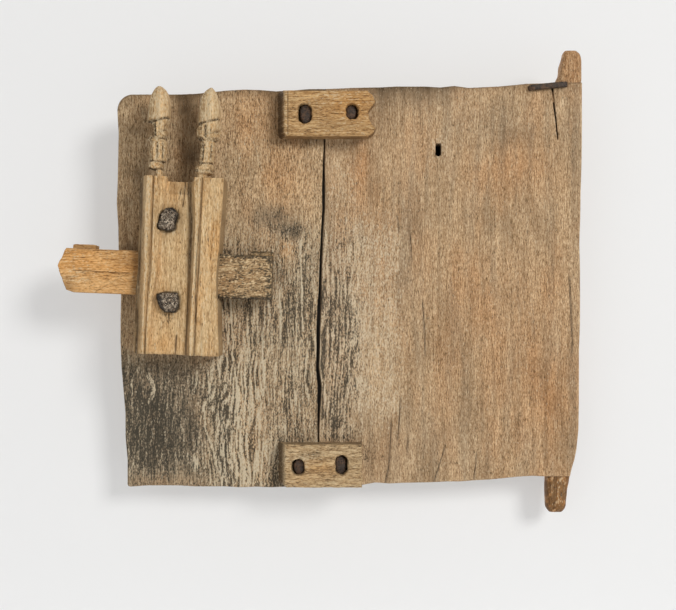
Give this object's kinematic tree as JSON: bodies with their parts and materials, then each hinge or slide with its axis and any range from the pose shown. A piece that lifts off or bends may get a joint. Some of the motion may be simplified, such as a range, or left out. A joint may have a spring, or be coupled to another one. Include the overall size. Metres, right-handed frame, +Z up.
{
  "type": "weathered wooden door",
  "caption": "Weathered plank door leaf with pivot horns, cleats, iron cramps and a carved wooden lock whose bolt slides past lifting tumblers.",
  "frame": {"origin": "middle of the lower pivot's tip", "axes": "+X to the right as seen from the front, -Y out of the front, +Z up"},
  "size_m": [0.6752, 0.0943, 0.6026],
  "materials": {
    "dark_plank_wood": "eroded grain, soot in the hollows, bare grey and cream ridges",
    "brown_plank_wood": "dry, hand-worn, fine upright grain",
    "cleat_wood": "dry, golden brown, grain along the cleat",
    "lock_wood": "dry, pale, tool-cut mouldings",
    "bolt_wood": "hand-polished, scratched, sooty near the lock",
    "old_iron": "hammered, rusted dull brown"
  },
  "bodies": {
    "door": {"left_plank": "dark_plank_wood", "right_plank": "brown_plank_wood", "top_cleat": "cleat_wood", "bottom_cleat": "cleat_wood", "lock_body": "lock_wood", "top_cramp": "old_iron", "bottom_cramp": "old_iron", "repair_staple": "old_iron", "lock_spike_upper": "old_iron", "lock_spike_lower": "old_iron"},
    "bolt": {"lock_bolt": "bolt_wood"},
    "left_tumbler": {"tumbler_left": "old_iron"},
    "right_tumbler": {"tumbler_right": "old_iron"}
  },
  "joints": [
    {"name": "bolt_slide", "type": "slide", "parent": "door", "child": "bolt", "axis": [0.9993, 0, -0.0384], "range_m": [-0.038, 0.0575]},
    {"name": "left_tumbler_lift", "type": "slide", "parent": "door", "child": "left_tumbler", "axis": [0.0384, 0, 0.9993], "range_m": [0, 0.006]},
    {"name": "right_tumbler_lift", "type": "slide", "parent": "door", "child": "right_tumbler", "axis": [0.0384, 0, 0.9993], "range_m": [0, 0.006]}
  ]
}
